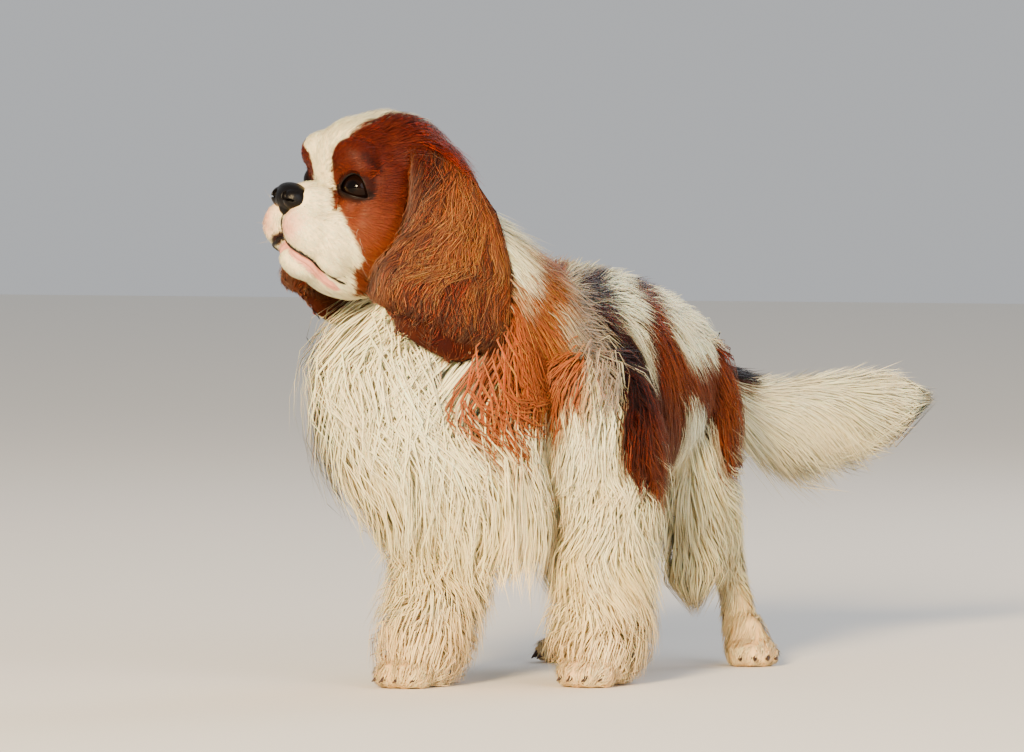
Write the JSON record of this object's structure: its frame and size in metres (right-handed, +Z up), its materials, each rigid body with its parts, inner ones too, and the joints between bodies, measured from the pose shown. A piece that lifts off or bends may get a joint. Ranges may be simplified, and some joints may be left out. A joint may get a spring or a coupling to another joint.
{
  "type": "cavalier king charles spaniel",
  "caption": "Still, life-size standing cavalier king charles spaniel with long chestnut and white coat, head turned to its right and tail level.",
  "frame": {"origin": "on the floor under the middle of the whole part's box, seen from above", "axes": "+Z up, -Y the way the body faces, +X the dog's left"},
  "size_m": [0.252, 0.6892, 0.4067],
  "materials": {
    "coat_white": "silky long hair, cream white with peach at the feet",
    "coat_chestnut": "silky long hair, chestnut red with dark roots and orange tips",
    "nose_leather": "moist pebbled black skin",
    "eye": "wet, very dark brown"
  },
  "bodies": {
    "root": {"head": "coat_chestnut", "nose": "nose_leather", "eye_left": "eye", "eye_right": "eye", "ear_left": "coat_chestnut", "ear_right": "coat_chestnut", "neck": "coat_white", "torso": "coat_white", "foreleg_left": "coat_white", "foreleg_right": "coat_white", "hindleg_left": "coat_white", "hindleg_right": "coat_white", "tail": "coat_white"}
  },
  "joints": []
}
